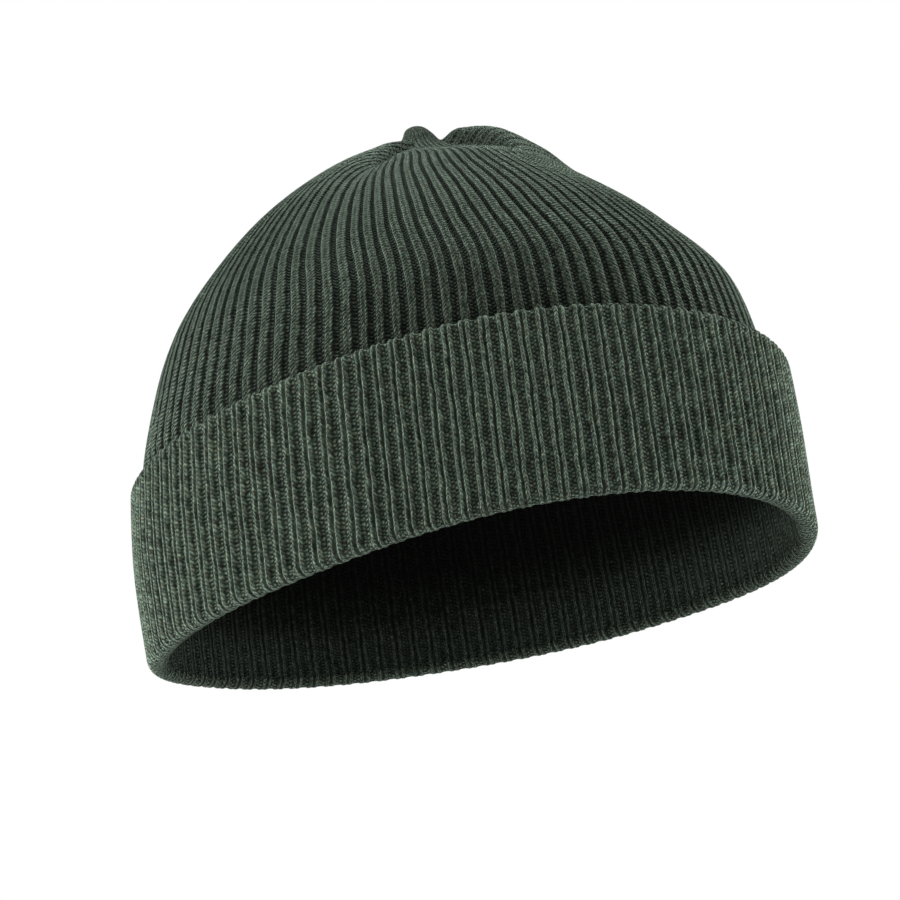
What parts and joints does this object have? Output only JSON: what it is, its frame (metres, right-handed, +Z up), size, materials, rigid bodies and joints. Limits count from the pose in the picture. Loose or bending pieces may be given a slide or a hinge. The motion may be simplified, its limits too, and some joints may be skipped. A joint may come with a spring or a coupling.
{
  "type": "knit watch cap",
  "caption": "Rib-knit watch cap with a turned-up cuff and a four-dart crown, in its worn shape, open below.",
  "frame": {"origin": "centre of the head opening, in the plane of the rim, where the head goes in", "axes": "+Z up through the crown, -Y towards the front of the cap, +X towards the wearer's left"},
  "size_m": [0.1698, 0.2134, 0.152],
  "materials": {
    "crown_knit": "matt heather rib knit, dark grey-green",
    "cuff_knit": "matt heather rib knit, dark grey-green"
  },
  "bodies": {
    "root": {"crown": "crown_knit", "cuff": "cuff_knit"}
  },
  "joints": []
}
